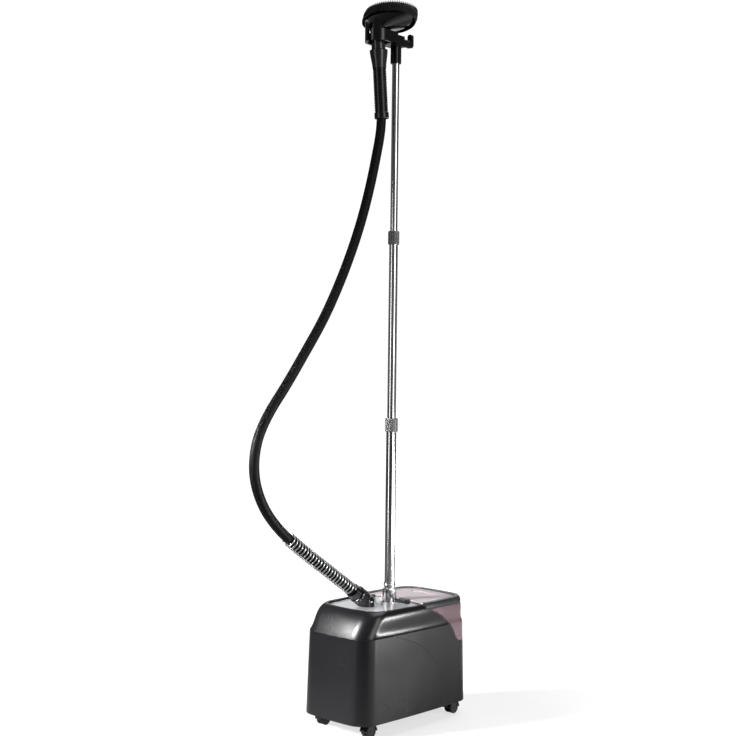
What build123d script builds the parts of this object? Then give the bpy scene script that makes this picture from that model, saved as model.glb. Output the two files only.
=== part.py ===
"""Upright garment steamer: rolling base with a lift-out water tank, telescopic pole,
hose and hand-held steam head resting in a cradle.

Frame: origin on the ground under the middle of the base, +Z up, the narrow front of
the base faces -Y, the water tank is at +Y. All sizes are in millimetres.
"""
import math
import os

from build123d import *

os.makedirs("parts", exist_ok=True)

# ---- Housing ----------------------------------------------------------------
WALL = 3.0
GROUND_GAP = 31.0          # clear height under the housing
SPLIT_Z = 205.0            # height of the shut line at the front
ROOF_Z = 248.0             # underside of the roof that carries the deck plate
POCKET_Z = 251.0           # floor of the pocket that the deck plate lies in
DECK_Z = 253.5             # top of the deck plate
RIM_Z = 257.5              # top of the housing's shoulder
# each outline: half width, front y, rear y, bulge of its sides, height
LOWER_OUTLINES = [(98.0, -175.0, 175.0, 5.0, GROUND_GAP), (95.5, -170.0, 172.0, 5.5, SPLIT_Z)]
UPPER_OUTLINES = [
    (95.5, -170.0, 172.0, 5.5, SPLIT_Z),
    (94.6, -154.0, 169.0, 7.0, 234.0),
    (92.4, -139.5, 165.0, 8.0, 253.0),
    (88.0, -133.5, 161.0, 8.0, RIM_Z),
]
CORNER_R = 41.0
SHOULDER = (88.0, -133.5, 161.0, 8.0)
LID_LEVEL = (94.0, -146.5, 167.5, 7.5)
SHUT_GAP = 0.6
# the shut line on the sides, front to rear, as (y, z)
SHUT_LINE = [(-95, 205), (-50, 195), (-17, 183), (16, 165), (40, 142), (62, 110), (80, 70), (92, 25)]

# ---- Water tank -------------------------------------------------------------
ARCH = [(-4, 255), (14, 249), (42, 240), (69, 227), (95, 207), (112, 187), (121, 171), (130, 163)]
TANK_FLOOR_Z = 163.0
LID_FRONT = [(-130, 2), (0, 34), (130, 2)]     # front edge of tank and lid, as (x, y)
TANK_TOP_Z = 246.0
LID_TOP_Z = 260.5
PANEL_Z = 256.0            # underside of the lid's clear panel
TANK_WALL = 2.2
SLOT_Y = 121.0
SLOT_LENGTH = 75.0
VALVE_Y = 146.0
VALVE_R = 10.0

# ---- Casters ----------------------------------------------------------------
CASTER_X = 66.0
CASTER_Y = 133.0
WHEEL_R = 12.5
WHEEL_W = 7.5
TRAIL = 7.0
STEM_R = 4.0
AXLE_R = 2.0

# ---- Base plate and inner parts ---------------------------------------------
PLATE_Z = 34.0             # underside of the base plate
PLATE_T = 4.0
SCREW_PLACES = [(-55.0, -95.0), (55.0, -95.0), (-55.0, 95.0), (55.0, 95.0)]
SCREW_HEAD_R = 3.6
SCREW_HEAD_H = 2.0
SCREW_R = 1.6
BOILER_Y = -78.0
BOILER_R = 44.0
BOILER_Z = (60.0, 132.0)
STEAM_R = 6.0
FEED_Z = 84.0
INLET_X = -45.0
INLET_R = 3.6
INLET_Y = 172.1
INLET_Z = 58.0

# ---- Deck fittings ----------------------------------------------------------
KNOB_X = -11.0
KNOB_Y = -34.0
KNOB_R = 9.0
KNOB_SHAFT_R = 3.0
LED_X = 15.0
LED_Y = -36.0
LED_R = 2.5
LEVER_X = 25.2
PIVOT_R = 1.6
SOCKET_R = 15.2
FLANGE_R = 20.0
FLANGE_T = 2.6
HOLE_GAP = 0.3             # room round a shaft that passes through the deck

# ---- Pole -------------------------------------------------------------------
POLE_Y = 5.0
LOWER_R = 11.0
MID_R = 9.5
UPPER_R = 8.0
TUBE_WALL = 1.2
FIT = 0.05                 # radial running clearance
LOWER_COLLAR_Z = 637.0
UPPER_COLLAR_Z = 1043.0
COLLAR_H = 29.4
SLEEVE_Z = (1421.0, 1457.0)

# ---- Cradle -----------------------------------------------------------------
RING_Y = -52.5
RING_IN = 22.0
RING_OUT = 28.0
CRADLE_Z = (1456.0, 1480.0)
HORN_TOP = 1503.0
HORN_ANGLE = 38.0          # from the front, each side
BACK_Y = -19.0

# ---- Handset ----------------------------------------------------------------
GRIP_FOOT = (0, -37.5, 1295.0)
GRIP_LEAN = 5.0            # degrees, the top leans to the front
GRIP_R = 14.5
GRIP_BORE = 11.5
RIBS = 17
RIB_PITCH = 5.4
GRIP_LENGTH = 107.0
BELL_LENGTH = 39.0
NECK_TOP = 172.0
NECK_R = 15.0
SHELL_T = 2.5
RIM_A = 65.0               # half widths of the funnel's rim
RIM_B = 37.5
PLATE_A = 61.0             # half widths of the steam plate
PLATE_B = 33.5
HEAD_CENTRE = (0, -16.0, 1517.0)
HEAD_TILT = 20.0           # degrees, the plate leans to the rear
HEAD_A = 70.0
HEAD_B = 42.0
TEETH = 72

# ---- Hose -------------------------------------------------------------------
HOSE_R = 10.25
SPRING_R = 14.2
HOSE_EXIT = (-112.0, 293.0)
BOSS_Y = -66.0
# route from the connector to the handset, as (y, z) in the plane x = 0
HOSE_ROUTE = [
    HOSE_EXIT, (-159, 324.7), (-215, 361), (-270, 398), (-324, 438), (-367, 487), (-391, 547),
    (-386, 610), (-357, 664), (-306, 724), (-256, 790), (-205, 858), (-160, 934), (-122, 1010),
    (-91, 1085), (-67, 1160), (-50, 1226), (-41, 1264), (-38.2, 1302), (-41.0, 1341), (-45.2, 1381),
]
SPRING_RUNS = 4
# degrees above level at the connector, along the first run
HOSE_TILT = math.degrees(math.atan2(HOSE_ROUTE[1][1] - HOSE_EXIT[1], HOSE_EXIT[0] - HOSE_ROUTE[1][0]))
BOSS_R = 17.0
BOSS_Z = 262.0             # centre of the ball where the elbow turns
# along the hose from its exit
NUT_BACK = -43.0
NUT_FRONT = -18.0
NUT_R = 18.6
SPIGOT_R = 12.0
HOSE_BORE = 5.0


# ---- Shared shapes ----------------------------------------------------------
def largest(shape):
    return max(shape.solids(), key=lambda solid: solid.volume)


def corner_places():
    """Name and place of each caster's stem."""
    sides = (("left", -CASTER_X), ("right", CASTER_X))
    ends = (("rear", CASTER_Y), ("front", -CASTER_Y))
    return [(f"{end}_{side}", x, y) for side, x in sides for end, y in ends]


def outline(half_x, front, rear, bulge, z, inset=0.0):
    """Rounded rectangle with gently bulging sides."""
    x = half_x - inset
    low = front + inset
    high = rear - inset
    middle = (low + high) / 2
    corner_x = x - bulge
    corner_low = low + bulge
    corner_high = high - bulge
    sides = ThreePointArc((-corner_x, corner_low), (0, low), (corner_x, corner_low))
    sides += ThreePointArc((corner_x, corner_low), (x, middle), (corner_x, corner_high))
    sides += ThreePointArc((corner_x, corner_high), (0, high), (-corner_x, corner_high))
    sides += ThreePointArc((-corner_x, corner_high), (-x, middle), (-corner_x, corner_low))
    face = make_face(sides)
    return Pos(0, 0, z) * fillet(face.vertices(), CORNER_R - inset)


def envelope(inset=0.0):
    """Outer shape of the housing and tank, or the same shape set in from it."""
    lower = loft([outline(*o, inset=inset) for o in LOWER_OUTLINES])
    upper = loft([outline(*o, inset=inset) for o in UPPER_OUTLINES])
    return lower + upper


def layer(z_low, z_high, size=500):
    """Wide slab between two heights."""
    return Pos(0, 0, (z_low + z_high) / 2) * Box(size, size, z_high - z_low)


def side_prism(curve):
    """Profile given in the YZ plane, drawn out to both sides."""
    return extrude(make_face(Plane.YZ * curve), amount=130, both=True)


def tube(outer, inner, z_low, z_high, x=0.0, y=0.0):
    ring = Cylinder(outer, z_high - z_low) - Cylinder(inner, z_high - z_low + 2)
    return Pos(x, y, (z_low + z_high) / 2) * ring


def rod(radius, z_low, z_high, x=0.0, y=0.0):
    return Pos(x, y, (z_low + z_high) / 2) * Cylinder(radius, z_high - z_low)


def oval_ring(a, b, inner_a, inner_b, z_low, z_high):
    ring = Ellipse(a, b) - Ellipse(inner_a, inner_b)
    return Pos(0, 0, z_low) * extrude(ring, amount=z_high - z_low)


def shut_region(drop):
    """Everything below and in front of the shut line, lowered by drop."""
    line = [(y, z - drop) for y, z in SHUT_LINE]
    curve = Spline(*line, tangents=[(1, 0), (0.3, -1)])
    end = line[-1]
    frame = Polyline(end, (end[0], -20), (-260, -20), (-260, line[0][1]), line[0])
    return side_prism(curve + frame)


def behind_lid_front(gap):
    """Everything behind the front edge of the tank and its lid."""
    points = [(x, y + gap) for x, y in LID_FRONT]
    arc = ThreePointArc(*points)
    frame = Polyline(points[2], (130, 260), (-130, 260), points[0])
    return extrude(make_face(arc + frame), amount=320)


def tank_space(gap):
    """Room for the tank: above the arch on the sides, deeper between them."""
    arch = [(y + gap, z + gap) for y, z in ARCH]
    curve = Spline(*arch)
    first = arch[0]
    last = arch[-1]
    frame = Polyline(last, (250, last[1]), (250, 320), (first[0], 320), first)
    above = side_prism(curve + frame)
    floor = TANK_FLOOR_Z + gap
    well = Pos(0, 150 + gap, (floor + 320) / 2) * Box(156 - 2 * gap, 200, 320 - floor)
    return (above + well) & behind_lid_front(gap)


# ---- Base -------------------------------------------------------------------
OUTER = envelope()
CAVITY = envelope(WALL) & layer(0, ROOF_Z)
SHELL = OUTER - CAVITY


def lower_housing():
    return SHELL & shut_region(SHUT_GAP / 2)


def deck_holes():
    """Pole, steam pipe, knob shaft and lamp pass through these."""
    low, high = ROOF_Z - 8, RIM_Z + 3
    holes = rod(LOWER_R + 1.5, low, high, 0, POLE_Y)
    holes += rod(STEAM_R + 2.5, low, high, 0, BOSS_Y)
    holes += rod(KNOB_SHAFT_R + HOLE_GAP, low, high, KNOB_X, KNOB_Y)
    return holes + rod(LED_R + 0.1, low, high, LED_X, LED_Y)


def upper_housing():
    pocket = extrude(outline(*SHOULDER, POCKET_Z, inset=5.5), amount=20)
    shell = SHELL - shut_region(-SHUT_GAP / 2) - tank_space(0) - pocket
    shell -= deck_holes()
    shell -= Pos(INLET_X, INLET_Y, INLET_Z) * Rot(90, 0, 0) * Cylinder(6.7, 30.0)
    shell -= Pos(INLET_X, INLET_Y + 4.9, INLET_Z) * Rot(90, 0, 0) * Cylinder(9.3, 10.0)
    return largest(shell)


def deck_plate():
    face = outline(*SHOULDER, POCKET_Z, inset=6.0)
    plate = extrude(face, amount=DECK_Z - POCKET_Z) - behind_lid_front(-0.6)
    return plate - deck_holes()


def base_plate():
    """Flat floor of the base, with counterbores so that its screws lie below the face."""
    top = PLATE_Z + PLATE_T
    plate = extrude(outline(97.8, -174.7, 174.7, 5.0, PLATE_Z, inset=WALL + 0.5), amount=PLATE_T)
    for _, x, y in corner_places():
        plate -= rod(STEM_R + 1.0, PLATE_Z - 1, top + 1, x, y)
    for x, y in SCREW_PLACES:
        plate -= rod(SCREW_R + 0.4, PLATE_Z - 1, top + 1, x, y)
        plate -= rod(SCREW_HEAD_R + 0.3, PLATE_Z - 1, PLATE_Z + SCREW_HEAD_H + 0.2, x, y)
    return plate


def base_fasteners():
    """Base plate screws, socket screws and the lever's pivot pin."""
    pin = rod(PIVOT_R, DECK_Z + 1.0, DECK_Z + 12.4, LEVER_X, POLE_Y)
    group = [pin + rod(3.4, DECK_Z, DECK_Z + 1.0, LEVER_X, POLE_Y)]
    seat = PLATE_Z + 0.2 + SCREW_HEAD_H
    for x, y in SCREW_PLACES:
        group.append(rod(SCREW_HEAD_R, PLATE_Z + 0.2, seat, x, y) + rod(SCREW_R, seat, seat + 12.0, x, y))
    for k in range(3):
        angle = math.radians(90 + 120 * k)
        ring = (SOCKET_R + FLANGE_R) / 2
        x = ring * math.cos(angle)
        y = POLE_Y + ring * math.sin(angle)
        group.append(rod(1.9, DECK_Z + FLANGE_T, DECK_Z + FLANGE_T + 1.2, x, y))
    return group


def caster_sockets():
    sockets = []
    for _, x, y in corner_places():
        cup = tube(8.0, STEM_R + FIT, PLATE_Z + PLATE_T, 62.0, x, y)
        cap = rod(8.0, 62.0, 64.5, x, y)
        sockets.append(cup + cap)
    return sockets


def tank_bay():
    liner = tank_space(-3.4) - tank_space(-0.6)
    liner = (CAVITY & layer(100, TANK_TOP_Z)) & liner
    liner -= rod(VALVE_R + 3.0, 140, 170, 0, VALVE_Y)
    return largest(liner)


def valve_seat():
    seat = tube(VALVE_R + 4.0, VALVE_R + 0.8, 150.0, 159.2, 0, VALVE_Y)
    return seat + rod(VALVE_R + 4.0, 147.0, 150.0, 0, VALVE_Y) - rod(4.0, 140, 155, 0, VALVE_Y)


def boiler():
    low, high = BOILER_Z
    return tube(BOILER_R, BOILER_R - 4.0, low, high, 0, BOILER_Y) + rod(BOILER_R, low - 4.0, low, 0, BOILER_Y)


def boiler_cover():
    low = BOILER_Z[1] + 0.2
    cover = rod(BOILER_R + 4.0, low, low + 5.8, 0, BOILER_Y)
    return cover - rod(STEAM_R + 0.1, low - 1, low + 7, 0, BOSS_Y)


def heater_element():
    return Pos(0, BOILER_Y, 72.0) * Torus(30.0, 4.0)


def steam_pipe():
    return tube(STEAM_R, 4.2, BOILER_Z[1] - 4.0, BOSS_Z, 0, BOSS_Y)


def feed_pipe():
    path = FilletPolyline((0, VALVE_Y, 147), (0, VALVE_Y, FEED_Z), (0, BOILER_Y + BOILER_R, FEED_Z), radius=18)
    return sweep(Plane(path @ 0, z_dir=path % 0) * (Circle(5.0) - Circle(3.4)), path=path)


def control_board():
    board = Pos(-68.0, -20.0, 120.0) * Box(1.6, 80.0, 60.0)
    relay = Pos(-60.0, -35.0, 125.0) * Box(14.4, 26.0, 20.0)
    transformer = Pos(-57.0, 0.0, 115.0) * Box(20.4, 24.0, 28.0)
    return board + relay + transformer


def cord_inlet():
    """Rubber grommet low on the rear face where the mains lead enters."""
    body = Pos(0, 0, 1.2) * Cylinder(9.0, 2.4) + Pos(0, 0, -3.75) * Cylinder(6.6, 7.5)
    body -= Cylinder(INLET_R, 30.0)
    return Pos(INLET_X, INLET_Y, INLET_Z) * Rot(-90, 0, 0) * body


# ---- Caster pieces ----------------------------------------------------------
def caster_hood(x, y):
    axle_y = y + TRAIL
    stem = rod(STEM_R, 27.0, 60.0, x, y) + rod(9.0, 27.4, 29.6, x, y)
    shade = Pos(x, axle_y, WHEEL_R) * Rot(0, 90, 0) * (Cylinder(15.6, 21.0) - Cylinder(13.4, 22.0))
    shade &= layer(13.0, 28.0)
    web = Pos(x, axle_y, WHEEL_R) * Rot(0, 90, 0) * Cylinder(14.0, 3.6)
    web &= layer(7.5, 28.0)
    hood = stem + shade + web
    return hood - Pos(x, axle_y, WHEEL_R) * Rot(0, 90, 0) * Cylinder(AXLE_R + FIT, 30.0)


def caster_wheels(x, y):
    wheels = []
    for side in (-1, 1):
        disc = Cylinder(WHEEL_R, WHEEL_W) - Cylinder(AXLE_R, WHEEL_W + 1)
        disc = fillet(disc.edges().filter_by(GeomType.CIRCLE).sort_by(SortBy.RADIUS)[-2:], 1.4)
        disc -= Pos(0, 0, side * WHEEL_W / 2) * (Cylinder(9.0, 2.0) - Cylinder(4.5, 2.0))
        offset = 2.3 + WHEEL_W / 2
        wheels.append(Pos(x + side * offset, y + TRAIL, WHEEL_R) * Rot(0, 90, 0) * disc)
    wheels.append(Pos(x, y + TRAIL, WHEEL_R) * Rot(0, 90, 0) * Cylinder(AXLE_R, 19.6))
    return wheels


# ---- Tank -------------------------------------------------------------------
def tank_shell():
    block = envelope(0.3) & tank_space(0.9) & layer(100, TANK_TOP_Z)
    hollow = envelope(0.3 + TANK_WALL) & tank_space(0.9 + TANK_WALL) & layer(100, TANK_TOP_Z + 5)
    shell = largest(block) - hollow
    return largest(shell - rod(VALVE_R - 2.0, 150, 175, 0, VALVE_Y))


def tank_valve():
    spigot = rod(VALVE_R, 153.0, TANK_FLOOR_Z + 0.8, 0, VALVE_Y)
    return spigot + rod(VALVE_R - 2.1, 160.0, 170.0, 0, VALVE_Y)


def lid_outline(inset, z):
    return outline(*LID_LEVEL, z, inset=inset)


def lid_frame():
    side = loft([
        outline(94.0, -146.3, 167.4, 7.5, TANK_TOP_Z + 0.4),
        outline(93.4, -143.5, 166.8, 7.8, 256.5),
        outline(91.4, -140.5, 164.8, 8.0, LID_TOP_Z),
    ])
    frame = side & tank_space(0.9)
    opening = extrude(lid_outline(16.0, 240.0), amount=40) & behind_lid_front(12.0)
    rebate = extrude(lid_outline(12.5, PANEL_Z), amount=40) & behind_lid_front(0.0)
    return largest(frame - opening - rebate)


def lid_panel():
    """Clear panel that lies in the frame and runs over its front bar."""
    panel = extrude(lid_outline(13.0, PANEL_Z), amount=2.4) & behind_lid_front(0.9)
    slot = Pos(0, SLOT_Y, PANEL_Z) * Box(SLOT_LENGTH, 9.0, 20.0)
    slot = fillet(slot.edges().filter_by(Axis.Z), 4.0)
    return panel - slot


def lid_grip():
    cup = Pos(0, SLOT_Y, 250.9) * Box(SLOT_LENGTH + 6, 15.0, 10.0)
    cup = fillet(cup.edges().filter_by(Axis.Z), 6.0)
    hollow = Pos(0, SLOT_Y, 253.0) * Box(SLOT_LENGTH - 0.6, 8.4, 12.0)
    return cup - fillet(hollow.edges().filter_by(Axis.Z), 3.5)


# ---- Deck fittings ----------------------------------------------------------
def pole_socket():
    cup = Cylinder(SOCKET_R, 27.0)
    cup = chamfer(cup.edges().sort_by(Axis.Z)[-1], 1.6)
    cup = Pos(0, POLE_Y, 269.5) * cup
    flange = rod(FLANGE_R, DECK_Z, DECK_Z + FLANGE_T, 0, POLE_Y)
    return cup + flange - rod(LOWER_R + 0.02, 250, 290, 0, POLE_Y)


def socket_bead():
    bead = Pos(0, POLE_Y, 291.5) * Torus(10.9, 2.4)
    band = tube(12.3, LOWER_R + 0.02, 286.8, 296.2, 0, POLE_Y)
    return bead - rod(LOWER_R + 0.02, 280, 300, 0, POLE_Y) + band


def pole_seat():
    """Plastic well under the deck that the lower tube stands in."""
    return tube(14.5, LOWER_R + 0.02, 176.0, ROOF_Z, 0, POLE_Y) + rod(14.5, 173.0, 176.0, 0, POLE_Y)


def control_knob():
    skirt = rod(KNOB_R, DECK_Z + 0.4, DECK_Z + 4.4, KNOB_X, KNOB_Y)
    crown = rod(6.0, DECK_Z + 4.4, DECK_Z + 9.0, KNOB_X, KNOB_Y)
    fin = Pos(KNOB_X, KNOB_Y, DECK_Z + 13.5) * Box(2.2, 11.0, 14.0)
    fin = fillet(fin.edges().filter_by(Axis.X).sort_by(Axis.Z)[-2:], 4.0)
    shaft = rod(KNOB_SHAFT_R, 238.0, DECK_Z + 1.0, KNOB_X, KNOB_Y)
    return skirt + crown + fin + shaft


def indicator_lens():
    return rod(LED_R, 246.0, DECK_Z + 1.2, LED_X, LED_Y)


def lock_lever():
    hub = rod(4.6, DECK_Z + 1.4, DECK_Z + 9.6, LEVER_X, POLE_Y)
    blade = Pos(LEVER_X + 16.0, POLE_Y, DECK_Z + 5.6) * Box(28.0, 8.0, 6.0)
    tip = Pos(LEVER_X + 28.0, POLE_Y, DECK_Z + 7.4) * Box(6.0, 13.0, 9.6)
    tip = fillet(tip.edges().filter_by(Axis.Z), 2.4)
    return hub + blade + tip - rod(PIVOT_R + FIT, 240, 280, LEVER_X, POLE_Y)


# ---- Hose connector ---------------------------------------------------------
# tilted frame at the hose exit: its +Z runs along the hose
CONNECTOR = Location((0, HOSE_EXIT[0], HOSE_EXIT[1]), (90 - HOSE_TILT, 0, 0))


def hose_elbow():
    """Boss on the deck that turns the steam towards the hose."""
    reach = math.dist(HOSE_EXIT, (BOSS_Y, BOSS_Z))
    boss = rod(BOSS_R, DECK_Z, BOSS_Z, 0, BOSS_Y) + Pos(0, BOSS_Y, BOSS_Z) * Sphere(BOSS_R)
    spigot = CONNECTOR * Pos(0, 0, -reach / 2 - 6) * Cylinder(SPIGOT_R, reach - 12)
    bore = CONNECTOR * Pos(0, 0, -reach / 2) * Cylinder(HOSE_BORE, reach + 20)
    shape = boss + spigot - bore - layer(200, DECK_Z)
    shape -= CONNECTOR * Pos(0, 0, (NUT_BACK + NUT_FRONT) / 2) * nut_room()
    return largest(shape - rod(STEAM_R + 0.1, 240, BOSS_Z + 0.5, 0, BOSS_Y))


def nut_room():
    length = NUT_FRONT - NUT_BACK + 0.6
    return Cylinder(NUT_R + 1.5, length) - Cylinder(SPIGOT_R, length + 1)


def hose_nut():
    length = NUT_FRONT - NUT_BACK
    nut = Cylinder(NUT_R, length)
    nut = fillet(nut.edges().filter_by(GeomType.CIRCLE), 2.0)
    for k in range(16):
        nut -= Rot(0, 0, 22.5 * k) * Pos(NUT_R + 1.0, 0, -1.0) * Cylinder(1.9, length - 9)
    nut -= Cylinder(SPIGOT_R + FIT, length + 2)
    return CONNECTOR * Pos(0, 0, (NUT_BACK + NUT_FRONT) / 2) * nut


def hose_sleeve():
    """Moulded end of the hose that the nut pulls down on its seat."""
    sleeve = Pos(0, 0, -8.9) * Cylinder(15.5, 17.8)
    sleeve = chamfer(sleeve.edges().filter_by(GeomType.CIRCLE).sort_by(Axis.Z)[-1], 1.6)
    sleeve -= Pos(0, 0, -15.0) * Cylinder(SPIGOT_R + FIT, 6.0)
    return CONNECTOR * (sleeve - Cylinder(HOSE_BORE, 80.0))


# ---- Pole -------------------------------------------------------------------
def lower_tube():
    return tube(LOWER_R, LOWER_R - TUBE_WALL, 176.0, 640.0, 0, POLE_Y)


def mid_tube():
    return tube(MID_R, MID_R - TUBE_WALL, 590.0, 1046.0, 0, POLE_Y)


def upper_tube():
    return tube(UPPER_R, UPPER_R - TUBE_WALL, 990.0, 1440.0, 0, POLE_Y)


def mid_bush():
    return tube(LOWER_R - TUBE_WALL - FIT, MID_R - TUBE_WALL, 582.0, 589.9, 0, POLE_Y)


def upper_bush():
    return tube(MID_R - TUBE_WALL - FIT, UPPER_R - TUBE_WALL, 982.0, 989.9, 0, POLE_Y)


def collar(centre_z, outer, big_bore, small_bore, step_z):
    """Twist-lock collar: wide bore over the lower tube, narrow bore over the next."""
    body = Cylinder(outer, COLLAR_H)
    body = fillet(body.edges().filter_by(GeomType.CIRCLE), 1.8)
    for k in range(14):
        body -= Rot(0, 0, 360 / 14 * k) * Pos(outer + 0.9, 0, 0) * Cylinder(1.6, COLLAR_H - 9)
    body = Pos(0, POLE_Y, centre_z) * body
    body -= rod(big_bore, centre_z - COLLAR_H, step_z, 0, POLE_Y)
    return body - rod(small_bore, step_z - 1, centre_z + COLLAR_H, 0, POLE_Y)


def lower_collar():
    return collar(LOWER_COLLAR_Z, 14.0, LOWER_R + FIT, MID_R + 0.3, 641.0)


def upper_collar():
    return collar(UPPER_COLLAR_Z, 12.3, MID_R + FIT, UPPER_R + 0.3, 1047.0)


# ---- Cradle at the top of the pole ------------------------------------------
def pole_sleeve():
    low, high = SLEEVE_Z
    block = Pos(0, POLE_Y, (low + high) / 2) * Box(20.5, 20.5, high - low)
    block = fillet(block.edges().filter_by(Axis.Z), 6.5)
    return block - rod(UPPER_R + 0.02, low - 1, 1440.5, 0, POLE_Y)


def sleeve_screw():
    return Pos(0, POLE_Y + 12.0, 1449.0) * Rot(90, 0, 0) * Cylinder(2.9, 3.4)


def cradle():
    low, high = CRADLE_Z
    height = high - low
    middle = (low + high) / 2
    depth = BACK_Y - RING_Y
    outer = Pos(0, RING_Y, middle) * Cylinder(RING_OUT, height)
    outer += Pos(0, RING_Y + depth / 2, middle) * Box(2 * RING_OUT, depth, height)
    inner = Pos(0, RING_Y, middle) * Cylinder(RING_IN, height + 2)
    inner += Pos(0, RING_Y + 10.0, middle) * Box(2 * RING_IN, 20.0, height + 2)
    fork = outer - inner - Pos(0, RING_Y - 30, middle) * Box(11.0, 60.0, height + 2)
    hub = Pos(0, -1.0, (1457.0 + high) / 2) * Box(30.0, 41.4, high - 1457.0)
    hub = fillet(hub.edges().filter_by(Axis.Z), 5.0)
    body = fork + hub
    for side in (-1, 1):
        body += horn(side)
        body -= Pos(side * RING_OUT, -38.5, 1467.0) * Box(1.6, 36.0, 1.2)
    return body


def horn(side):
    """Upturned end of one cradle arm, a rounded tongue on the ring's wall."""
    low = CRADLE_Z[0]
    band = tube(RING_OUT, RING_IN, low, HORN_TOP, 0, RING_Y)
    tongue = Ellipse(10.0, HORN_TOP - 1472.0) & Rectangle(19.0, 80.0)
    tongue += Pos(0, -8.0) * Rectangle(19.0, 16.0)
    turned = Pos(0, RING_Y, 1472.0) * Rot(0, 0, side * HORN_ANGLE) * Rot(90, 0, 0)
    return band & (turned * extrude(tongue, amount=60))


def hanger_peg():
    bar = Pos(0, 34.0, 1471.0) * Box(10.0, 28.4, 17.0)
    bar = fillet(bar.edges().filter_by(Axis.Y), 4.0)
    stop = Pos(0, 52.0, 1479.0) * Box(12.0, 7.6, 29.0)
    return bar + fillet(stop.edges().filter_by(Axis.Y), 5.0)


# ---- Handset ----------------------------------------------------------------
HANDLE = Location(GRIP_FOOT, (GRIP_LEAN, 0, 0))
HEAD = Location(HEAD_CENTRE, (-HEAD_TILT, 0, 0))


def ribbed_grip():
    start = GRIP_LENGTH - RIBS * RIB_PITCH
    profile = [(GRIP_BORE, 14.2), (GRIP_R - 1.2, 14.2)]
    for k in range(RIBS):
        z = start + k * RIB_PITCH
        profile += [(GRIP_R - 1.2, z + 1.2), (GRIP_R, z + 1.9), (GRIP_R, z + 4.4), (GRIP_R - 1.2, z + 5.1)]
    profile += [(GRIP_R - 1.2, GRIP_LENGTH), (GRIP_BORE, GRIP_LENGTH)]
    face = make_face(Plane.XZ * Polyline(*profile, close=True))
    return HANDLE * revolve(face, Axis.Z)


def grip_cuff():
    cuff = Pos(0, 0, 7.0) * Cylinder(15.6, 14.0)
    cuff = fillet(cuff.edges().filter_by(GeomType.CIRCLE), 1.6)
    return HANDLE * (cuff - Pos(0, 0, 7.0) * Cylinder(12.3, 20.0))


def bell_collar():
    top = GRIP_LENGTH + BELL_LENGTH
    profile = [(GRIP_BORE, GRIP_LENGTH + 0.2), (14.8, GRIP_LENGTH + 0.2), (15.6, GRIP_LENGTH + 10)]
    profile += [(18.4, top - 12), (19.5, top - 1.5), (18.6, top), (GRIP_BORE, top)]
    face = make_face(Plane.XZ * Polyline(*profile, close=True))
    return HANDLE * revolve(face, Axis.Z)


def neck():
    bottom = GRIP_LENGTH + BELL_LENGTH + 0.2
    return HANDLE * tube(NECK_R, 7.0, bottom, NECK_TOP)


def steam_tube():
    """Riser from the hose end to the steam chamber, with its stop flange."""
    riser = tube(4.6, 3.2, 112.0, 190.0)
    return HANDLE * (riser + tube(GRIP_BORE - 0.3, 3.2, 128.0, 132.0) + tube(6.8, 3.2, 150.0, 154.0))


def tilted_oval(centre, tilt, a, b):
    return Location(centre, (-tilt, 0, 0)) * Ellipse(a, b)


def handset_shell():
    """Funnel from the round neck to the oval rim, hollow."""
    foot = HANDLE * Pos(0, 0, NECK_TOP + 0.2) * Circle(NECK_R)
    inner_foot = HANDLE * Pos(0, 0, NECK_TOP + 0.2) * Circle(NECK_R - SHELL_T)
    outer = loft([foot, *funnel_sections(0.0)])
    inner = loft([inner_foot, *funnel_sections(SHELL_T)])
    return largest(outer - inner)


def funnel_sections(inset):
    low = tilted_oval((0, -50.0, 1480.5), 0.0, 19.0 - inset, 19.0 - inset)
    mid = tilted_oval((0, -32.0, 1498.0), 12.0, 44.0 - inset, 33.0 - inset)
    rim = HEAD * Pos(0, 0, -7.0) * Ellipse(RIM_A - inset, RIM_B - inset)
    return [low, mid, rim]


def steam_plate():
    plate = extrude(Ellipse(PLATE_A, PLATE_B), amount=3.0)
    for ring, count in ((0.36, 8), (0.68, 16)):
        for k in range(count):
            t = 2 * math.pi * (k + 0.5) / count
            plate -= Pos(PLATE_A * ring * math.cos(t), PLATE_B * ring * math.sin(t), 0) * Cylinder(2.0, 20)
    return HEAD * Pos(0, 0, -1.8) * plate


def brush_frame():
    ring = oval_ring(HEAD_A, HEAD_B, PLATE_A + 0.6, PLATE_B + 0.6, -1.8, 8.0)
    skirt = oval_ring(HEAD_A, HEAD_B, 68.0, 40.5, -12.0, -1.8)
    return HEAD * (ring + skirt)


def brush_bristles():
    tufts = []
    for k in range(TEETH):
        t = 2 * math.pi * k / TEETH
        x = (HEAD_A - 2.2) * math.cos(t)
        y = (HEAD_B - 2.2) * math.sin(t)
        tufts.append(Pos(x, y, 11.0) * Cone(1.5, 0.8, 5.6))
    bed = oval_ring(HEAD_A - 0.6, HEAD_B - 0.6, HEAD_A - 3.8, HEAD_B - 3.8, 8.1, 9.0)
    return HEAD * (bed + tufts)


def brush_clips():
    clips = []
    for angle in (-90, 20, 160):
        t = math.radians(angle)
        x = (HEAD_A + 0.2) * math.cos(t)
        y = (HEAD_B + 0.2) * math.sin(t)
        heading = math.degrees(math.atan2(y / HEAD_B**2, x / HEAD_A**2))
        clips.append(HEAD * Pos(x, y, -6.0) * Rot(0, 0, heading) * Pos(0.8, 0, 0) * Box(1.4, 10.0, 8.0))
    return clips


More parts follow.
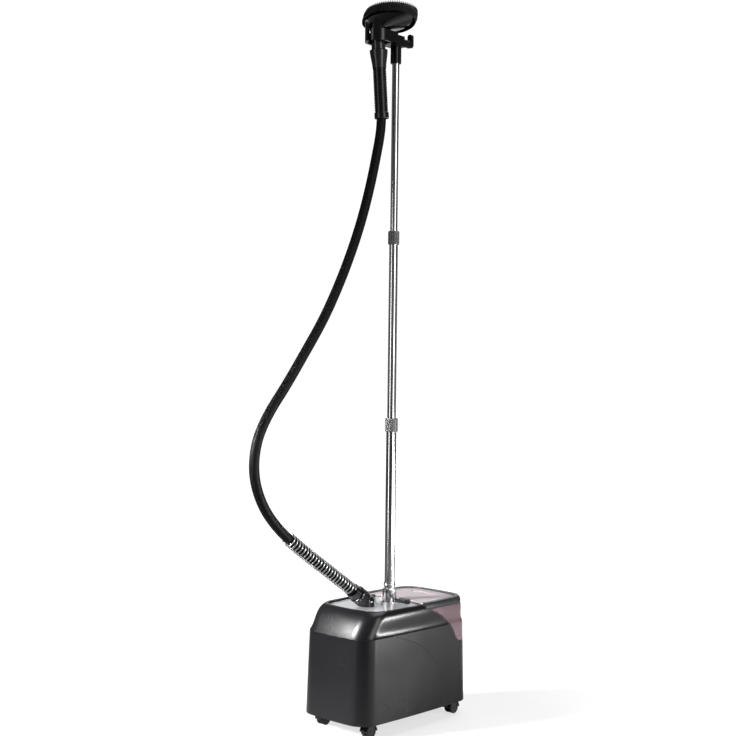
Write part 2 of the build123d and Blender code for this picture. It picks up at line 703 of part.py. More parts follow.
# ---- Hose -------------------------------------------------------------------
def turn_radii(route):
    """Largest arc that fits at each inner point of the route."""
    radii = []
    for before, here, after in zip(route, route[1:], route[2:]):
        run_in = math.dist(before, here)
        run_out = math.dist(here, after)
        heading_in = math.atan2(here[1] - before[1], here[0] - before[0])
        heading_out = math.atan2(after[1] - here[1], after[0] - here[0])
        turn = abs((heading_out - heading_in + math.pi) % (2 * math.pi) - math.pi)
        radii.append(0.45 * min(run_in, run_out) / math.tan(turn / 2))
    return radii


HOSE_RADII = turn_radii(HOSE_ROUTE)


def route_path(count):
    points = [(0, y, z) for y, z in HOSE_ROUTE[:count]]
    return FilletPolyline(*points, radius=HOSE_RADII[:count - 2])


def swept_ring(path, outer, inner):
    section = Plane(path @ 0, z_dir=path % 0) * (Circle(outer) - Circle(inner))
    return sweep(section, path=path)


def hose():
    path = route_path(len(HOSE_ROUTE))
    section = Plane(path @ 0, z_dir=path % 0) * Circle(HOSE_R)
    solid = sweep(section, path=path)
    expected = math.pi * HOSE_R**2 * path.length
    print("hose length", round(path.length, 1), "volume ratio", round(solid.volume / expected, 5))
    print("hose radii", [round(r) for r in HOSE_RADII])
    return solid


def hose_spring():
    """Outer shape of the wire that guards the hose, up to halfway along its last run."""
    points = [(0, y, z) for y, z in HOSE_ROUTE[:SPRING_RUNS + 1]]
    points[-1] = tuple((a + b) / 2 for a, b in zip(points[-2], points[-1]))
    path = FilletPolyline(*points, radius=HOSE_RADII[:SPRING_RUNS - 1])
    return swept_ring(path, SPRING_R, HOSE_R + 0.3)


# ---- Write every piece ------------------------------------------------------
def pieces():
    nodes = {}
    makers = [
        lower_housing, upper_housing, deck_plate, base_plate, base_fasteners, caster_sockets, tank_bay,
        valve_seat, boiler, boiler_cover, heater_element, steam_pipe, feed_pipe,
        control_board, cord_inlet, tank_shell, tank_valve, lid_frame, lid_panel, lid_grip,
        pole_socket, socket_bead, pole_seat, control_knob, indicator_lens,
        lock_lever, hose_elbow, hose_nut, hose_sleeve, lower_tube, mid_tube, upper_tube,
        mid_bush, upper_bush, lower_collar, upper_collar, pole_sleeve, sleeve_screw, cradle,
        hanger_peg, ribbed_grip, grip_cuff, bell_collar, neck, steam_tube, handset_shell,
        steam_plate, brush_frame, brush_bristles, brush_clips, hose, hose_spring,
    ]
    for maker in makers:
        nodes[maker.__name__] = maker()
    for name, x, y in corner_places():
        nodes[f"caster_hood_{name}"] = caster_hood(x, y)
        nodes[f"caster_wheels_{name}"] = caster_wheels(x, y)
    return nodes


def main():
    for name, shape in pieces().items():
        if isinstance(shape, list):
            shape = Compound(children=[s for item in shape for s in item.solids()])
        export_step(shape, f"parts/{name}.step")


main()
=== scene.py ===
"""Looks of an upright garment steamer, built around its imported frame. Sizes are in metres."""

import math

import bmesh
import bpy
import numpy as np
from mathutils import Matrix, Vector


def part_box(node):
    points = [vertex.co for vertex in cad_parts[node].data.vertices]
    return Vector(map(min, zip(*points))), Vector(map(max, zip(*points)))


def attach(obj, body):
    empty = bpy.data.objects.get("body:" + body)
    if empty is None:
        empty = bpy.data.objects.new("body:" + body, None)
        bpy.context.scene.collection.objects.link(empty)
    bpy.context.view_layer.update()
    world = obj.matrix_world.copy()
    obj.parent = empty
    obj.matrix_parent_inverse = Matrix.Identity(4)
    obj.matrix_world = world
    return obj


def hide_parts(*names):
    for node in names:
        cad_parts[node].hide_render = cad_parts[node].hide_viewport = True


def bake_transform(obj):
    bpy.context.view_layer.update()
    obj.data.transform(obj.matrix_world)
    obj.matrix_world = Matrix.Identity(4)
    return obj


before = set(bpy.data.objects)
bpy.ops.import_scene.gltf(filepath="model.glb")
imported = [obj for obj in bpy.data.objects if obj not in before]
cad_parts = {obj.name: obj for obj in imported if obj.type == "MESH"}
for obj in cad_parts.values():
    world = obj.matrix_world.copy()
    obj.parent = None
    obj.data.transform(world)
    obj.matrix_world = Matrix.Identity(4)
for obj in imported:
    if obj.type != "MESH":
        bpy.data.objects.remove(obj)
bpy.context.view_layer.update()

# ---- Camera -------------------------------------------------------------------
CAMERA_PLACE = (1.8232, -1.9923, 0.76)
CAMERA_TURN = 43.5          # degrees, how far the view looks towards -X
CAMERA_ROLL = 0.7           # degrees
CAMERA_LENS = 60.9          # mm, on a sensor 36 mm wide


def make_camera():
    """The photograph's own view: level, from the front corner on the +X side."""
    data = bpy.data.cameras.new("camera")
    data.lens = CAMERA_LENS
    data.sensor_width = 36
    camera = bpy.data.objects.new("camera", data)
    bpy.context.scene.collection.objects.link(camera)
    turn = Matrix.Rotation(math.radians(CAMERA_TURN), 4, "Z")
    level = Matrix.Rotation(math.radians(90), 4, "X")
    roll = Matrix.Rotation(math.radians(CAMERA_ROLL), 4, "Z")
    camera.matrix_world = Matrix.Translation(CAMERA_PLACE) @ turn @ level @ roll
    bpy.context.scene.camera = camera


make_camera()

# ---- Hose sizes ------------------------------------------------------------------
# route from the connector to the handset, as (y, z) in the plane x = 0
HOSE_ROUTE = [
    (-0.112, 0.293), (-0.159, 0.3247), (-0.215, 0.361), (-0.270, 0.398), (-0.324, 0.438),
    (-0.367, 0.487), (-0.391, 0.547), (-0.386, 0.610), (-0.357, 0.664), (-0.306, 0.724),
    (-0.256, 0.790), (-0.205, 0.858), (-0.160, 0.934), (-0.122, 1.010), (-0.091, 1.085),
    (-0.067, 1.160), (-0.050, 1.226), (-0.041, 1.264), (-0.0382, 1.302), (-0.0410, 1.341),
    (-0.0452, 1.381),
]
HOSE_RADIUS = 0.01025
HOSE_SIDES = 48
HOSE_STEP = 0.002           # between rings
LOOK_ROUND = 0.001          # how far each way a direction is read from
SPRING_END_Z = 0.418        # height where the spring stops
SPRING_PITCH = 0.0093
SPRING_RADIUS = 0.0127      # to the middle of the wire
WIRE_RADIUS = 0.0015
WIRE_SIDES = 8
STEPS_PER_TURN = 28


# ---- Meshes ----------------------------------------------------------------------
def route_points():
    """Points along the smooth line of the hose, read from its NURBS spline."""
    curve = bpy.data.curves.new("hose_route", "CURVE")
    curve.dimensions = "3D"
    curve.resolution_u = 32
    spline = curve.splines.new("NURBS")
    spline.points.add(len(HOSE_ROUTE) - 1)
    for point, (y, z) in zip(spline.points, HOSE_ROUTE):
        point.co = (0, y, z, 1)
    spline.order_u = 3
    spline.use_endpoint_u = True
    holder = bpy.data.objects.new("hose_route", curve)
    mesh = bpy.data.meshes.new_from_object(holder)
    points = np.array([v.co for v in mesh.vertices], float)
    bpy.data.objects.remove(holder)
    bpy.data.meshes.remove(mesh)
    bpy.data.curves.remove(curve)
    return points


def arc_lengths(points):
    """Length along a line at each of its points."""
    steps = np.linalg.norm(np.diff(points, axis=0), axis=1)
    return np.concatenate([[0], np.cumsum(steps)])


def line_at(points, lengths, s):
    """Place, direction and the two cross directions at length s along a line in the plane x = 0."""
    place = np.array([np.interp(s, lengths, points[:, k]) for k in range(3)])
    ahead = np.array([np.interp(s + LOOK_ROUND, lengths, points[:, k]) for k in range(3)])
    behind = np.array([np.interp(s - LOOK_ROUND, lengths, points[:, k]) for k in range(3)])
    along = (ahead - behind) / np.linalg.norm(ahead - behind)
    side = np.array([1.0, 0, 0])
    return place, along, side, np.cross(along, side)


def sweep(name, places, sides, ups, radii, segments):
    """Tube through places, with a radius at each; both ends are closed."""
    count = len(places)
    angles = np.arange(segments) * 2 * math.pi / segments
    rings = [
        place + radius * (np.outer(np.cos(angles), side) + np.outer(np.sin(angles), up))
        for place, side, up, radius in zip(places, sides, ups, radii)
    ]
    vertices = np.concatenate(rings + [places[:1], places[-1:]])
    faces = []
    for i in range(count - 1):
        for k in range(segments):
            after = (k + 1) % segments
            low, high = i * segments, (i + 1) * segments
            faces.append((low + k, low + after, high + after, high + k))
    first, last = count * segments, count * segments + 1
    top = (count - 1) * segments
    for k in range(segments):
        after = (k + 1) % segments
        faces.append((after, k, first))
        faces.append((top + k, top + after, last))
    mesh = bpy.data.meshes.new(name)
    mesh.from_pydata(vertices.tolist(), [], faces)
    lengths = arc_lengths(np.array(places))
    write_uv(mesh, lengths, segments, float(np.max(radii)))
    mesh.shade_smooth()
    mesh.update()
    return add(name, mesh)


def write_uv(mesh, lengths, segments, radius):
    """UV of a sweep: around the tube and along it, both in metres."""
    layer = mesh.uv_layers.new(name="along")
    girth = 2 * math.pi * radius
    ring_count = len(lengths)
    for polygon in mesh.polygons:
        columns = [v % segments for v in polygon.vertices if v < ring_count * segments]
        wraps = max(columns) == segments - 1 and min(columns) == 0
        for loop, vertex in zip(polygon.loop_indices, polygon.vertices):
            row, column = divmod(vertex, segments)
            row = min(row, ring_count - 1)
            if wraps and column == 0:
                column = segments
            layer.data[loop].uv = (girth * column / segments, lengths[row])


def add(name, mesh):
    """A new object for a mesh, linked to the scene."""
    piece = bpy.data.objects.new(name, mesh)
    bpy.context.scene.collection.objects.link(piece)
    return piece


def make_hose(points, lengths):
    """The sheathed hose, one tube along the route."""
    spots = np.arange(0, lengths[-1], HOSE_STEP)
    spots = np.append(spots, lengths[-1])
    lines = [line_at(points, lengths, s) for s in spots]
    places = np.array([line[0] for line in lines])
    radii = np.full(len(spots), HOSE_RADIUS)
    sides = [line[2] for line in lines]
    ups = [line[3] for line in lines]
    return sweep("hose_tube", places, sides, ups, radii, HOSE_SIDES)


def make_spring(points, lengths):
    """The wire spring that keeps the hose from kinking at the connector."""
    end = float(np.interp(SPRING_END_Z, points[:, 2], lengths))
    start = 2 * WIRE_RADIUS
    turns = (end - start) / SPRING_PITCH
    steps = int(turns * STEPS_PER_TURN)
    centres, places = [], []
    for i in range(steps + 1):
        s = start + (end - start) * i / steps
        centre, _, side, up = line_at(points, lengths, s)
        angle = 2 * math.pi * turns * i / steps
        centres.append(centre)
        places.append(centre + SPRING_RADIUS * (math.cos(angle) * side + math.sin(angle) * up))
    places = np.array(places)
    along = np.gradient(places, axis=0)
    along /= np.linalg.norm(along, axis=1)[:, None]
    sides = np.array(centres) - places
    sides -= (sides * along).sum(1)[:, None] * along
    sides /= np.linalg.norm(sides, axis=1)[:, None]
    ups = np.cross(along, sides)
    radii = np.full(len(places), WIRE_RADIUS)
    return sweep("spring_wire", places, sides, ups, radii, WIRE_SIDES)


# ---- Materials -------------------------------------------------------------------
class Surface:
    """A Principled material with short ways to add nodes."""

    def __init__(self, name, **sockets):
        self.material = bpy.data.materials.new(name)
        self.material.use_nodes = True
        self.tree = self.material.node_tree
        self.shader = next(n for n in self.tree.nodes if n.type == "BSDF_PRINCIPLED")
        self.normal = None
        self.object_coords = self.node("ShaderNodeTexCoord").outputs["Object"]
        self.uv_coords = self.object_coords.node.outputs["UV"]
        for socket, value in sockets.items():
            self.shader.inputs[socket.replace("_", " ")].default_value = value

    def node(self, kind, settings=None, inputs=None):
        made = self.tree.nodes.new(kind)
        for key, value in (settings or {}).items():
            setattr(made, key, value)
        for key, value in (inputs or {}).items():
            self.feed(made.inputs[key], value)
        return made

    def feed(self, socket, value):
        if isinstance(value, bpy.types.NodeSocket):
            self.tree.links.new(value, socket)
        else:
            socket.default_value = value

    def stretched(self, scale):
        """Object coordinates with each axis scaled."""
        mapping = self.node("ShaderNodeMapping", inputs={"Vector": self.object_coords, "Scale": scale})
        return mapping.outputs["Vector"]

    def noise(self, scale, detail=4.0, vector=None, roughness=0.55):
        inputs = {"Scale": scale, "Detail": detail, "Roughness": roughness}
        inputs["Vector"] = vector or self.object_coords
        return self.node("ShaderNodeTexNoise", inputs=inputs).outputs["Fac"]

    def ranged(self, value, low, high, start=0.3, end=0.7):
        """value from start..end turned into low..high."""
        inputs = {"Value": value, "From Min": start, "From Max": end, "To Min": low, "To Max": high}
        return self.node("ShaderNodeMapRange", inputs=inputs).outputs["Result"]

    def math(self, operation, a, b=0.0):
        return self.node("ShaderNodeMath", {"operation": operation}, {0: a, 1: b}).outputs["Value"]

    def blended(self, factor, first, second):
        made = self.node("ShaderNodeMix", {"data_type": "RGBA"})
        self.feed(made.inputs[0], factor)
        self.feed(made.inputs[6], first)
        self.feed(made.inputs[7], second)
        return made.outputs[2]

    def bump(self, height, distance, strength=1.0):
        inputs = {"Height": height, "Distance": distance, "Strength": strength}
        made = self.node("ShaderNodeBump", inputs=inputs)
        if self.normal is not None:
            self.feed(made.inputs["Normal"], self.normal)
        self.normal = made.outputs["Normal"]
        self.feed(self.shader.inputs["Normal"], self.normal)

    def colour(self, value):
        self.feed(self.shader.inputs["Base Color"], value)

    def rough(self, value):
        self.feed(self.shader.inputs["Roughness"], value)

    def edges(self, radius):
        """1 on edges sharper than radius, 0 on open faces."""
        bevel = self.node("ShaderNodeBevel", {"samples": 4}, {"Radius": radius})
        normal = self.node("ShaderNodeNewGeometry").outputs["Normal"]
        product = self.node("ShaderNodeVectorMath", {"operation": "DOT_PRODUCT"})
        self.feed(product.inputs[0], bevel.outputs["Normal"])
        self.feed(product.inputs[1], normal)
        return self.ranged(product.outputs["Value"], 1.0, 0.0, 0.50, 0.80)


def rgb(r, g, b):
    return (r, g, b, 1.0)


def scaled(colour, share):
    return tuple(channel * share for channel in colour[:3]) + (1.0,)


WEAR_RADIUS = 0.0009        # corners sharper than this get dulled


def moulded(name, colour, rough, grain=2400.0, grain_depth=0.00003, spread=0.06, wear=None, **sockets):
    """Moulded plastic: fine spark-eroded grain, slight shrink waves, handling marks and dulled edges."""
    s = Surface(name, **sockets)
    cloud = s.noise(9.0, 5.0)
    tone = s.blended(s.ranged(cloud, 0, 1), scaled(colour, 0.86), scaled(colour, 1.16))
    flecks = s.ranged(s.noise(1400.0, 2.0), 0, 0.10, 0.70, 0.80)
    tone = s.blended(flecks, tone, scaled(colour, 2.6))
    smears = s.noise(60.0, 6.0, s.stretched((1.0, 1.0, 0.25)))
    roughness = s.ranged(cloud, rough - spread / 2, rough + spread / 2)
    roughness = s.math("ADD", roughness, s.ranged(smears, -spread / 8, spread / 6))
    if wear is not None:
        rubbed = s.ranged(s.noise(180.0, 5.0), 0.0, 1.0, 0.42, 0.62)
        edge = s.math("MULTIPLY", s.edges(WEAR_RADIUS), rubbed)
        tone = s.blended(edge, tone, wear)
        roughness = s.math("ADD", roughness, s.math("MULTIPLY", edge, 0.08))
    s.colour(tone)
    s.rough(roughness)
    s.bump(s.noise(7.0, 2.0), 0.0006, 0.35)
    s.bump(s.noise(grain, 3.0), grain_depth, 0.8)
    return s.material


def polished(name, colour, rough):
    """Plated tube or cup: bright, with faint lengthwise draw lines and wiping marks."""
    s = Surface(name, Metallic=1.0)
    cloud = s.noise(14.0, 5.0)
    lines = s.noise(900.0, 3.0, s.stretched((1.0, 1.0, 0.02)))
    haze = s.noise(45.0, 6.0, s.stretched((1.0, 1.0, 0.3)))
    s.colour(s.blended(s.ranged(cloud, 0, 1), scaled(colour, 0.93), colour))
    roughness = s.ranged(haze, rough * 0.7, rough * 1.6)
    s.rough(s.math("ADD", roughness, s.ranged(lines, 0.0, 0.03)))
    s.bump(lines, 0.00001, 0.5)
    return s.material


def drawn_wire(name, colour, rough):
    """Bare metal with fine drawing marks along each axis and a few stains."""
    s = Surface(name, Metallic=1.0)
    stains = s.noise(120.0, 6.0)
    lines = s.noise(2600.0, 2.0, s.stretched((1.0, 0.15, 0.15)))
    s.colour(s.blended(s.ranged(stains, 0, 1), scaled(colour, 0.8), colour))
    s.rough(s.math("ADD", s.ranged(stains, rough * 1.3, rough * 0.8), s.ranged(lines, 0.0, 0.06)))
    s.bump(lines, 0.00002, 0.6)
    return s.material


def lacquered(name, colour, rough):
    """Metal-flake lacquer on plastic, with a thin clear coat."""
    s = Surface(name, Metallic=0.55, Coat_Weight=0.35, Coat_Roughness=0.18)
    flake = s.noise(5200.0, 1.0)
    cloud = s.noise(11.0, 5.0)
    tone = s.blended(s.ranged(cloud, 0, 1), scaled(colour, 0.92), scaled(colour, 1.04))
    s.colour(s.blended(s.ranged(flake, 0.0, 0.35), tone, scaled(colour, 1.3)))
    s.rough(s.math("ADD", s.ranged(cloud, rough, rough + 0.06), s.ranged(flake, -0.04, 0.05)))
    s.bump(flake, 0.00002, 0.5)
    s.bump(s.noise(6.0, 2.0), 0.0004, 0.3)
    return s.material


def smoky(name, colour, rough, transmission):
    """Tinted clear plastic, lightly frosted by handling and lime."""
    s = Surface(name, IOR=1.49, Transmission_Weight=transmission)
    cloud = s.noise(12.0, 6.0)
    marks = s.noise(420.0, 5.0)
    s.colour(s.blended(s.ranged(cloud, 0, 1), scaled(colour, 0.9), scaled(colour, 1.06)))
    s.rough(s.math("ADD", s.ranged(cloud, rough * 0.7, rough * 1.5), s.ranged(marks, 0.0, 0.05)))
    s.bump(s.noise(16.0, 3.0), 0.0004, 0.3)
    return s.material


def rubber(name, colour, rough):
    """Dull rubber with bloom and fine pitting."""
    s = Surface(name, Specular_IOR_Level=0.3)
    bloom = s.noise(35.0, 6.0)
    pits = s.noise(3200.0, 2.0)
    tone = s.blended(s.ranged(bloom, 0, 1), colour, scaled(colour, 1.7))
    s.colour(tone)
    s.rough(s.ranged(bloom, rough - 0.08, rough + 0.08))
    s.bump(pits, 0.00004, 0.7)
    return s.material


BRAID_STRANDS = 40          # around the hose, each way
BRAID_LEAN = 0.55           # how far a strand turns round for each length it goes along


def braid(name, colour):
    """Braided sheath: two sets of crossing strands, each over and under the other, with painted shade in
    the grooves between them.
    """
    s = Surface(name, Sheen_Weight=0.01, Sheen_Roughness=0.35, Specular_IOR_Level=0.12)
    split = s.node("ShaderNodeSeparateXYZ", inputs={0: s.uv_coords})
    across, along = split.outputs[0], split.outputs[1]
    strands = BRAID_STRANDS / (2 * math.pi * HOSE_RADIUS)
    drift = s.math("MULTIPLY", along, BRAID_LEAN)
    right = s.math("MULTIPLY", s.math("ADD", across, drift), strands)
    left = s.math("MULTIPLY", s.math("SUBTRACT", across, drift), strands)
    ridge_right = s.math("ABSOLUTE", s.math("SINE", s.math("MULTIPLY", right, math.pi)))
    ridge_left = s.math("ABSOLUTE", s.math("SINE", s.math("MULTIPLY", left, math.pi)))
    over = s.math("SINE", s.math("MULTIPLY", s.math("ADD", right, left), math.pi / 2))
    top = s.math("GREATER_THAN", over, 0.0)
    under = s.math("SUBTRACT", 1.0, top)
    seen_right = s.math("MULTIPLY", ridge_right, top)
    seen_left = s.math("MULTIPLY", ridge_left, under)
    height = s.math("ADD", seen_right, seen_left)
    fuzz = s.noise(1800.0, 4.0)
    cloud = s.noise(30.0, 5.0)
    # painted shade: the colour drops to 0.35 of the base in the grooves between strands and rises to 1.3
    # on their crowns
    tone = s.blended(s.ranged(height, 0, 1, 0.1, 0.9), scaled(colour, 0.35), scaled(colour, 1.3))
    tone = s.blended(s.ranged(cloud, 0.0, 0.35), tone, scaled(colour, 1.9))
    s.colour(tone)
    s.rough(s.math("ADD", s.ranged(height, 0.50, 0.30, 0.0, 1.0), s.ranged(fuzz, -0.05, 0.08)))
    s.bump(height, 0.00022, 0.8)
    s.bump(fuzz, 0.00005, 0.5)
    return s.material


def laminate(name, colour):
    """Circuit board: solder mask over copper runs."""
    s = Surface(name, Coat_Weight=0.2, Coat_Roughness=0.2)
    inputs = {"Vector": s.object_coords, "Scale": 260.0, "Mortar Size": 0.03}
    runs = s.node("ShaderNodeTexBrick", inputs=inputs)
    cloud = s.noise(25.0, 4.0)
    tone = s.blended(runs.outputs["Fac"], colour, scaled(colour, 1.7))
    s.colour(s.blended(s.ranged(cloud, 0.0, 0.3), tone, scaled(colour, 0.7)))
    s.rough(s.ranged(cloud, 0.35, 0.5))
    s.bump(runs.outputs["Fac"], 0.00004, 0.6)
    return s.material


BLACK = rgb(0.0042, 0.0043, 0.0050)
DULL_BLACK = rgb(0.006, 0.006, 0.0065)

MATERIALS = {
    "housing_black": moulded(
        "housing_black", BLACK, 0.25, wear=rgb(0.02, 0.02, 0.022), Specular_IOR_Level=0.42,
    ),
    "gloss_black": moulded(
        "gloss_black", rgb(0.004, 0.004, 0.0045), 0.12, grain=900.0, grain_depth=0.000004, spread=0.05,
        Coat_Weight=0.5, Coat_Roughness=0.06,
    ),
    "collar_grey": moulded("collar_grey", rgb(0.105, 0.105, 0.108), 0.36, wear=rgb(0.10, 0.10, 0.104)),
    "deck_silver": lacquered("deck_silver", rgb(0.45, 0.46, 0.48), 0.26),
    "lid_grey": moulded("lid_grey", rgb(0.024, 0.0245, 0.027), 0.24, wear=rgb(0.04, 0.04, 0.044)),
    "tank_pink": smoky("tank_pink", rgb(0.80, 0.62, 0.66), 0.09, 0.94),
    "chrome": polished("chrome", rgb(0.80, 0.80, 0.81), 0.09),
    "steel": drawn_wire("steel", rgb(0.72, 0.72, 0.73), 0.26),
    "alloy": drawn_wire("alloy", rgb(0.62, 0.62, 0.63), 0.42),
    "rubber_black": rubber("rubber_black", DULL_BLACK, 0.58),
    "hose_braid": braid("hose_braid", rgb(0.004, 0.004, 0.0045)),
    "inner_plastic": moulded("inner_plastic", rgb(0.55, 0.53, 0.47), 0.5),
    "board_green": laminate("board_green", rgb(0.03, 0.16, 0.08)),
    "brass": drawn_wire("brass", rgb(0.66, 0.46, 0.2), 0.3),
    "satin_black": moulded("satin_black", rgb(0.016, 0.016, 0.017), 0.25, wear=rgb(0.02, 0.02, 0.022)),
    "lid_clear": smoky("lid_clear", rgb(0.48, 0.41, 0.43), 0.12, 0.5),
    "lamp_red": smoky("lamp_red", rgb(0.75, 0.06, 0.04), 0.12, 0.5),
    "bristle": rubber("bristle", DULL_BLACK, 0.36),
    "print_white": moulded("print_white", rgb(0.62, 0.62, 0.61), 0.5),
    "print_grey": moulded("print_grey", rgb(0.09, 0.09, 0.095), 0.5),
}

# nodes whose finish differs a little from the rest of their slot
NODE_LOOKS = {"bell_collar": "satin_black", "neck": "satin_black", "lid_panel": "lid_clear"}


def paint_frame():
    """Each CAD node gets the worked-up material of its own slot."""
    for name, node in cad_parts.items():
        for place in node.material_slots:
            look = NODE_LOOKS.get(name, place.material.name.split(".")[0])
            place.material = MATERIALS[look]


paint_frame()

# ---- Hose and spring -------------------------------------------------------------
route = route_points()
route_lengths = arc_lengths(route)
hose = make_hose(route, route_lengths)
hose.data.materials.append(MATERIALS["hose_braid"])
spring = make_spring(route, route_lengths)
spring.data.materials.append(MATERIALS["steel"])
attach(spring, "base")
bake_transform(hose)
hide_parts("hose")
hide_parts("hose_spring")

# ---- Printed marks ---------------------------------------------------------------
CONNECTOR_TILT = 56         # degrees from upright to the hose's first run
CONNECTOR_TURN = Matrix.Rotation(math.radians(CONNECTOR_TILT), 4, "X")
CONNECTOR_PLACE = Matrix.Translation((0, *HOSE_ROUTE[0])) @ CONNECTOR_TURN
NUT_RADIUS = 0.0186
NUT_MARK_HEIGHT = -0.0214   # along the connector, on the plain band of the nut
NUT_MARK_TURNS = (-62, -38, -14, 10)    # degrees
NUT_MARK_SIZE = (0.00025, 0.0009, 0.0028)
KNOB_PLACE = ((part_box("control_knob")[0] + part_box("control_knob")[1]) / 2).to_2d()
DECK_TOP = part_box("deck_plate")[1].z
SCALE_RADIUS = 0.0132
SCALE_TURNS = range(-135, 136, 45)      # degrees
SCALE_TICK_SIZE = (0.0006, 0.0026, 0.0003)
MARK_EDGE = 0.00008


def bars(name, places, size, edge):
    """Small bars with rounded edges, one at each place."""
    mesh = bpy.data.meshes.new(name)
    shape = bmesh.new()
    for place in places:
        made = bmesh.ops.create_cube(shape, size=1.0, matrix=place @ Matrix.Diagonal((*size, 1.0)))
        edges = list({e for v in made["verts"] for e in v.link_edges})
        bmesh.ops.bevel(shape, geom=edges, offset=edge, segments=2, affect="EDGES", profile=0.5)
    shape.to_mesh(mesh)
    shape.free()
    return add(name, mesh)


def nut_marks():
    """Small pointers that show which way the nut turns."""
    places = []
    for turn in NUT_MARK_TURNS:
        spin = Matrix.Rotation(math.radians(turn), 4, "Z")
        places.append(CONNECTOR_PLACE @ spin @ Matrix.Translation((NUT_RADIUS, 0, NUT_MARK_HEIGHT)))
    return bars("nut_marks", places, NUT_MARK_SIZE, MARK_EDGE)


def knob_scale():
    """Raised ticks on the deck around the steam knob."""
    places = []
    middle = Matrix.Translation((*KNOB_PLACE, DECK_TOP))
    for turn in SCALE_TURNS:
        spin = Matrix.Rotation(math.radians(turn), 4, "Z")
        places.append(middle @ spin @ Matrix.Translation((0, SCALE_RADIUS, 0)))
    return bars("knob_scale", places, SCALE_TICK_SIZE, MARK_EDGE)


for mark, look, body, slot in (
    (nut_marks(), "print_white", "nut", "inner_plastic"),
    (knob_scale(), "print_grey", "base", "housing_black"),
):
    mark.data.materials.append(MATERIALS[look])
    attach(mark, body)

# ---- Brush ribs ------------------------------------------------------------------
HEAD_TILT = -20                 # degrees
HEAD_MIDDLE = (0, -0.016, 1.517)
HEAD_PLACE = Matrix.Translation(HEAD_MIDDLE) @ Matrix.Rotation(math.radians(HEAD_TILT), 4, "X")
HEAD_HALF_WIDTHS = (0.070, 0.042)
RIB_COUNT = 96
RIB_SPAN = (-0.0105, 0.0068)    # along the head's own axis
RIB_WIDTH = 0.0022
RIB_HEIGHT = 0.0010
RIB_SINK = 0.0003               # how far a rib is set into the wall
RIB_EASE = 0.0012               # length of the rounding at each end


def rib_profile():
    """Half outline of one rib along the head's axis, as (height on the axis, how proud it stands)."""
    low, high = RIB_SPAN
    start = [(low, 0.0), (low + RIB_EASE / 2, 0.6), (low + RIB_EASE, 1.0)]
    end = [(high - RIB_EASE, 1.0), (high - RIB_EASE / 2, 0.6), (high, 0.0)]
    return start + end


def make_ribs():
    """Rounded ribs around the outer wall of the brush frame, which grip the fabric."""
    across = [(-0.5, 0.0), (-0.36, 0.7), (0.0, 1.0), (0.36, 0.7), (0.5, 0.0)]
    profile = rib_profile()
    rows, columns = len(profile), len(across)
    vertices, faces = [], []
    a, b = HEAD_HALF_WIDTHS
    for k in range(RIB_COUNT):
        turn = 2 * math.pi * (k + 0.5) / RIB_COUNT
        wall = Vector((a * math.cos(turn), b * math.sin(turn), 0))
        outward = Vector((math.cos(turn) / a, math.sin(turn) / b, 0)).normalized()
        beside = Vector((-outward.y, outward.x, 0))
        first = len(vertices)
        for height, share in profile:
            for offset, bulge in across:
                proud = RIB_HEIGHT * bulge * share - RIB_SINK
                point = wall + beside * (offset * RIB_WIDTH) + outward * proud
                vertices.append(HEAD_PLACE @ (point + Vector((0, 0, height))))
        for i in range(rows - 1):
            for j in range(columns - 1):
                corner = first + i * columns + j
                faces.append((corner, corner + 1, corner + columns + 1, corner + columns))
    mesh = bpy.data.meshes.new("brush_ribs")
    mesh.from_pydata([tuple(v) for v in vertices], [], faces)
    mesh.shade_smooth()
    return add("brush_ribs", mesh)


ribs = make_ribs()
ribs.data.materials.append(MATERIALS["bristle"])
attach(ribs, "handset")

# ---- Studio ----------------------------------------------------------------------
STAGE_SIZE = 40.0
FLOOR_GLOW_NEAR = 0.66
FLOOR_GLOW_FAR = 1.1
FLOOR_WHITE = rgb(0.34, 0.34, 0.343)
FLOOR_ROUGH = 0.8


def paper(name, colour, rough, near, far):
    """White paper sweep, which glows more away from the object so that it ends without a horizon."""
    s = Surface(name)
    cloud = s.noise(0.8, 3.0)
    s.colour(s.blended(s.ranged(cloud, 0, 1), scaled(colour, 0.985), colour))
    s.rough(s.ranged(cloud, rough - 0.03, rough + 0.03))
    away = s.node("ShaderNodeVectorMath", {"operation": "LENGTH"}, {0: s.object_coords}).outputs["Value"]
    direct = s.node("ShaderNodeLightPath").outputs["Is Camera Ray"]
    s.shader.inputs["Emission Color"].default_value = rgb(1, 1, 1)
    glow = s.math("MULTIPLY", direct, s.ranged(away, near, far, 0.35, 1.6))
    s.feed(s.shader.inputs["Emission Strength"], glow)
    return s.material


def make_floor():
    """A wide paper floor, which isn't part of the object."""
    half = STAGE_SIZE / 2
    mesh = bpy.data.meshes.new("floor")
    corners = [(-half, -half, 0), (half, -half, 0), (half, half, 0), (-half, half, 0)]
    mesh.from_pydata(corners, [], [(0, 1, 2, 3)])
    floor = add("floor", mesh)
    white = paper("floor_white", FLOOR_WHITE, FLOOR_ROUGH, FLOOR_GLOW_NEAR, FLOOR_GLOW_FAR)
    floor.data.materials.append(white)


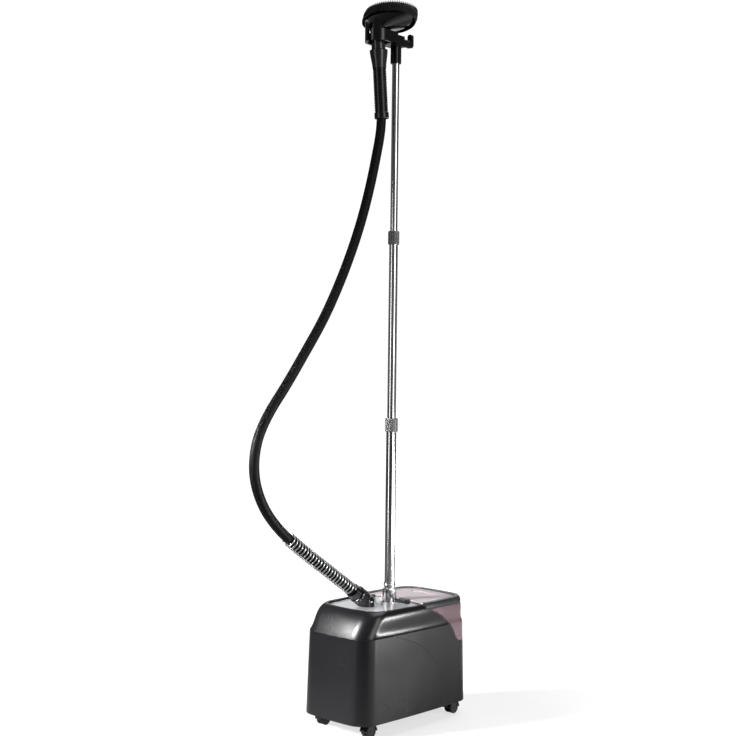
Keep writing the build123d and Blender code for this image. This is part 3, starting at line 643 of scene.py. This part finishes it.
def softbox(name, azimuth, distance, height, size, power, aim=(0, 0, 0.6), spread=180):
    """Area light at an azimuth round the object, 0 in front of it, aimed at a point.

    spread is the angle of its beam; azimuth and spread are in degrees, power in watts.
    """
    light = bpy.data.lights.new(name, "AREA")
    light.shape = "RECTANGLE"
    light.size, light.size_y = size
    light.energy = power
    light.spread = math.radians(spread)
    lamp = bpy.data.objects.new(name, light)
    bpy.context.scene.collection.objects.link(lamp)
    turn = math.radians(azimuth)
    place = Vector((math.sin(turn) * distance, -math.cos(turn) * distance, height))
    facing = (Vector(aim) - place).to_track_quat("-Z", "Y")
    lamp.matrix_world = Matrix.Translation(place) @ facing.to_matrix().to_4x4()


def make_world(seen, given):
    """A white backdrop for the camera, and a dimmer surround for the light on the object."""
    world = bpy.data.worlds.new("studio")
    bpy.context.scene.world = world
    world.use_nodes = True
    tree = world.node_tree
    background = next(n for n in tree.nodes if n.type == "BACKGROUND")
    path = tree.nodes.new("ShaderNodeLightPath")
    strength = tree.nodes.new("ShaderNodeMapRange")
    strength.inputs["To Min"].default_value = given
    strength.inputs["To Max"].default_value = seen
    tree.links.new(path.outputs["Is Camera Ray"], strength.inputs["Value"])
    tree.links.new(strength.outputs["Result"], background.inputs["Strength"])
    background.inputs["Color"].default_value = rgb(1, 1, 1)


make_floor()
make_world(seen=1.05, given=0.10)
softbox(
    "front", azimuth=-27, distance=2.4, height=1.42, size=(0.75, 0.7), power=9, aim=(0, 0, 0.25),
    spread=24,
)
softbox("side", azimuth=86, distance=2.5, height=1.2, size=(0.9, 2.7), power=30, aim=(0, 0, 1.2))
softbox("strip", azimuth=-8, distance=3.0, height=1.3, size=(0.45, 2.8), power=16, aim=(0, 0, 1.3))
softbox("low", azimuth=120, distance=1.9, height=0.22, size=(0.7, 0.34), power=31, aim=(0, 0, 0.15))
softbox("top", azimuth=150, distance=0.7, height=2.9, size=(1.8, 1.8), power=28, aim=(0, 0, 0.25))
softbox("back", azimuth=218, distance=2.8, height=1.3, size=(2.4, 2.4), power=10)
bpy.context.scene.view_settings.view_transform = "Standard"
